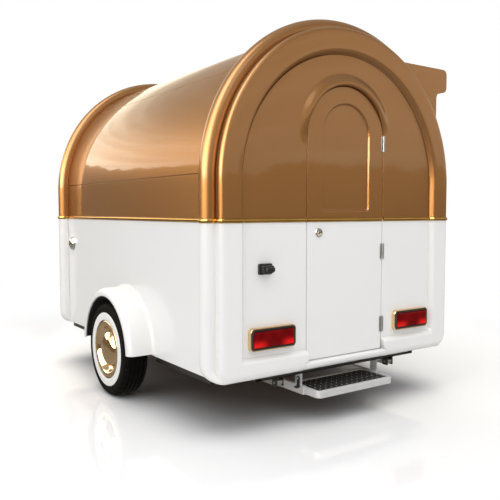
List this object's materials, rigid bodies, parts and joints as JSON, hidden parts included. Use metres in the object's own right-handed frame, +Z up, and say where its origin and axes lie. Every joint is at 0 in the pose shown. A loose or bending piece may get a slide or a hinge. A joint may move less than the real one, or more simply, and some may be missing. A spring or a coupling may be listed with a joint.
{
  "type": "coffee trailer",
  "caption": "Round-topped towable coffee trailer with a bronze and white shell, rear door, pull-out step, gold trim, whitewall wheels and a side serving hatch.",
  "frame": {"origin": "on the ground under the middle of the trailer's overall box", "axes": "+Y forward to the coupling, +X to the trailer's right (serving) side, +Z up"},
  "size_m": [2.22, 3.885, 2.4397],
  "materials": {
    "bronze_paint": "metallic bronze paint under a clear coat",
    "white_gelcoat": "polished white gelcoat",
    "gold_trim": "polished",
    "black_steel": "satin black",
    "zinc_steel": "galvanised",
    "satin_steel": "satin",
    "chrome": "polished",
    "satin_alloy": "satin",
    "grip_rubber": "matt",
    "black_plastic": "fine grained",
    "red_lens": "clear moulded",
    "tyre_rubber": "matt",
    "white_rubber": "satin",
    "oak_board": "oiled board"
  },
  "bodies": {
    "trailer": {"rear_arch_ring": "bronze_paint", "rear_arch_bead": "bronze_paint", "front_upper_shell": "bronze_paint", "left_upper_panel": "bronze_paint", "vault_panel": "bronze_paint", "roof_panel": "bronze_paint", "serving_portal": "bronze_paint", "rear_upper_panel": "bronze_paint", "rear_lower_ring": "white_gelcoat", "front_lower_shell": "white_gelcoat", "left_lower_panel": "white_gelcoat", "right_lower_panel": "white_gelcoat", "fenders": "white_gelcoat", "rear_lower_panels": "white_gelcoat", "rear_sill": "white_gelcoat", "belt_trim": "gold_trim", "lamp_bezels": "gold_trim", "chassis_frame": "black_steel", "drawbar": "black_steel", "axle_beam": "zinc_steel", "coupling_head": "zinc_steel", "jockey_clamp": "zinc_steel", "hinge_frame_leaves": "satin_steel", "hatch_fittings": "satin_steel", "filler_flange": "chrome", "step_guides": "satin_alloy", "lamp_gaskets": "grip_rubber", "plate_lamp": "black_plastic", "wheel_boxes": "black_plastic", "lamp_lenses": "red_lens", "floor_panel": "oak_board", "counter_unit": "oak_board"},
    "rear_door": {"door_upper_panel": "bronze_paint", "door_lower_panel": "white_gelcoat", "hinge_door_leaves": "satin_steel", "door_belt_trim": "gold_trim", "lock_body": "chrome"},
    "lock_plug": {"lock_plug": "chrome"},
    "left_wheel": {"left_tyre": "tyre_rubber", "left_whitewall": "white_rubber", "left_rim": "zinc_steel", "left_hub_cap": "gold_trim"},
    "right_wheel": {"right_tyre": "tyre_rubber", "right_whitewall": "white_rubber", "right_rim": "zinc_steel", "right_hub_cap": "gold_trim"},
    "step": {"step_frame": "satin_alloy", "step_tread": "grip_rubber"},
    "step_latch": {"step_latch": "black_steel"},
    "filler_cap": {"filler_cap": "chrome"},
    "serving_hatch": {"serving_hatch": "bronze_paint"},
    "strut_barrels": {"strut_barrels": "black_steel"},
    "strut_rods": {"strut_rods": "satin_steel"},
    "coupling_lever": {"coupling_lever": "black_steel"},
    "jockey_inner_tube": {"jockey_inner_tube": "zinc_steel"},
    "jockey_fork": {"jockey_fork": "zinc_steel"},
    "jockey_wheel": {"jockey_wheel": "black_plastic"},
    "jockey_crank": {"jockey_crank": "zinc_steel"},
    "left_steady_leg": {"left_steady_leg": "zinc_steel"},
    "right_steady_leg": {"right_steady_leg": "zinc_steel"}
  },
  "joints": [
    {"name": "door_swing", "type": "hinge", "parent": "trailer", "child": "rear_door", "pos_m": [0.317, -1.834, 0.6], "axis": [0, 0, 1], "range_deg": [0, 110]},
    {"name": "lock_turn", "type": "hinge", "parent": "rear_door", "child": "lock_plug", "pos_m": [-0.225, -1.8275, 1.139], "axis": [0, 1, 0], "range_deg": [0, 90]},
    {"name": "left_wheel_spin", "type": "hinge", "parent": "trailer", "child": "left_wheel", "pos_m": [-1.0075, -0.6175, 0.32], "axis": [1, 0, 0], "continuous": true},
    {"name": "right_wheel_spin", "type": "hinge", "parent": "trailer", "child": "right_wheel", "pos_m": [1.0075, -0.6175, 0.32], "axis": [1, 0, 0], "continuous": true},
    {"name": "step_slide", "type": "slide", "parent": "trailer", "child": "step", "axis": [0, 1, 0], "range_m": [0, 0.2]},
    {"name": "step_latch_turn", "type": "hinge", "parent": "trailer", "child": "step_latch", "pos_m": [-0.323, -1.7625, 0.251], "axis": [1, 0, 0], "range_deg": [0, 70]},
    {"name": "filler_cap_turn", "type": "hinge", "parent": "trailer", "child": "filler_cap", "pos_m": [-0.943, 0.4725, 1], "axis": [-1, 0, 0], "range_deg": [0, 90]},
    {"name": "hatch_lift", "type": "hinge", "parent": "trailer", "child": "serving_hatch", "pos_m": [1.01, -0.5575, 2.064], "axis": [0, -1, 0], "range_deg": [0, 84]},
    {"name": "strut_swing", "type": "hinge", "parent": "trailer", "child": "strut_barrels", "pos_m": [0.954, -0.5575, 2.008], "axis": [0, -1, 0], "range_deg": [0, 88]},
    {"name": "strut_extend", "type": "slide", "parent": "strut_barrels", "child": "strut_rods", "axis": [0.0549, 0, -0.9985], "range_m": [0, 0.11]},
    {"name": "coupling_lever_lift", "type": "hinge", "parent": "trailer", "child": "coupling_lever", "pos_m": [0, 1.7999, 0.363], "axis": [-1, 0, 0], "range_deg": [0, 40]},
    {"name": "jockey_crank_turn", "type": "hinge", "parent": "trailer", "child": "jockey_crank", "pos_m": [0.185, 1.5225, 0.655], "axis": [0, 0, 1], "range_deg": [0, 1440]},
    {"name": "jockey_slide", "type": "slide", "parent": "trailer", "child": "jockey_inner_tube", "axis": [0, 0, 1], "range_m": [0, 0.0805]},
    {"name": "jockey_swivel", "type": "hinge", "parent": "jockey_inner_tube", "child": "jockey_fork", "pos_m": [0.185, 1.5225, 0.212], "axis": [0, 0, 1], "continuous": true},
    {"name": "jockey_wheel_spin", "type": "hinge", "parent": "jockey_fork", "child": "jockey_wheel", "pos_m": [0.185, 1.4925, 0.1], "axis": [1, 0, 0], "continuous": true},
    {"name": "left_steady_swing", "type": "hinge", "parent": "trailer", "child": "left_steady_leg", "pos_m": [-0.47, -1.7475, 0.246], "axis": [-1, 0, 0], "range_deg": [0, 40]},
    {"name": "right_steady_swing", "type": "hinge", "parent": "trailer", "child": "right_steady_leg", "pos_m": [0.47, -1.7475, 0.246], "axis": [-1, 0, 0], "range_deg": [0, 40]}
  ],
  "couplings": [
    {"joint": "strut_swing", "follows": "hatch_lift", "ratio": 1.0196},
    {"joint": "strut_extend", "follows": "hatch_lift", "m_per_rad": 0.07157},
    {"joint": "jockey_slide", "follows": "jockey_crank_turn", "m_per_rad": 0.0031831}
  ]
}
